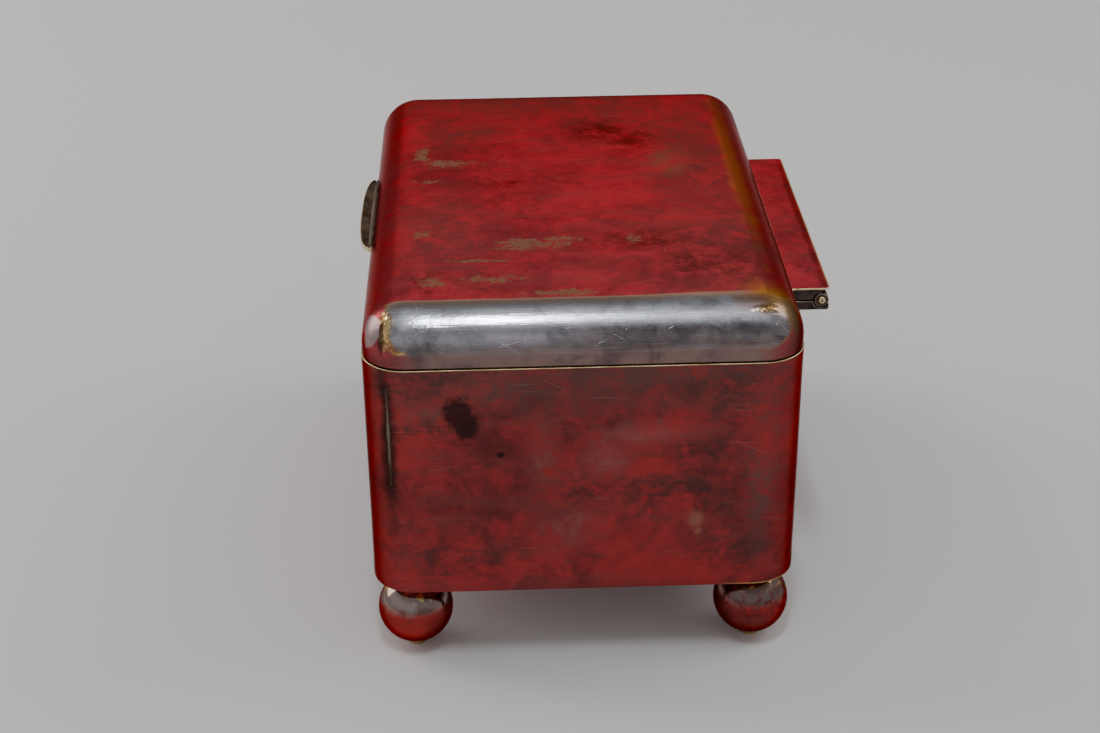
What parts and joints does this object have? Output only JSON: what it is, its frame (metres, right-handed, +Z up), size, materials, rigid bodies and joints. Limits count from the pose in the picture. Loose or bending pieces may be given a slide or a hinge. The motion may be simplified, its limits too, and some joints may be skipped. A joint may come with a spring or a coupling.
{
  "type": "hinged table box",
  "caption": "Rectangular table box of silver-plated sheet brass on ball feet, with a hinged lid, a thumbpiece, a hinge that stands away from the back wall and a divided cedar lining.",
  "frame": {"origin": "on the surface that the box stands on, under the middle of its whole outer box, hinge and thumbpiece included", "axes": "+X along the box's length to the right of someone who faces the thumbpiece, +Y to the back, where the hinge is, +Z up"},
  "size_m": [0.132, 0.101, 0.082],
  "materials": {
    "silver_plate": "polished silver plate on brass, tarnished in brown and grey clouds and worn through to the brass along its corners and edges",
    "bare_brass": "bare brass, smooth and a little dull",
    "dark_brass": "plated brass darkened by tarnish, with bright worn arrises",
    "cedar": "thin planed cedar boards, unvarnished"
  },
  "bodies": {
    "box": {"body_wall": "silver_plate", "base_plate": "silver_plate", "foot_ball_front_left": "silver_plate", "foot_ball_front_right": "silver_plate", "foot_ball_back_left": "silver_plate", "foot_ball_back_right": "silver_plate", "foot_rivet_front_left": "bare_brass", "foot_rivet_front_right": "bare_brass", "foot_rivet_back_left": "bare_brass", "foot_rivet_back_right": "bare_brass", "lining_floor": "cedar", "lining_front": "cedar", "lining_back": "cedar", "lining_left": "cedar", "lining_right": "cedar", "lining_divider": "cedar", "hinge_lower_leaf": "dark_brass", "hinge_lower_knuckle_1": "dark_brass", "hinge_lower_knuckle_3": "dark_brass", "hinge_lower_knuckle_5": "dark_brass", "hinge_pin": "bare_brass"},
    "lid": {"lid_shell": "silver_plate", "thumbpiece": "silver_plate", "hinge_cover_plate": "silver_plate", "hinge_upper_leaf": "dark_brass", "hinge_upper_knuckle_2": "dark_brass", "hinge_upper_knuckle_4": "dark_brass"}
  },
  "joints": [
    {"name": "lid_hinge", "type": "hinge", "parent": "box", "child": "lid", "pos_m": [0, 0.0488, 0.06985], "axis": [-1, 0, 0], "range_deg": [0, 105]}
  ]
}
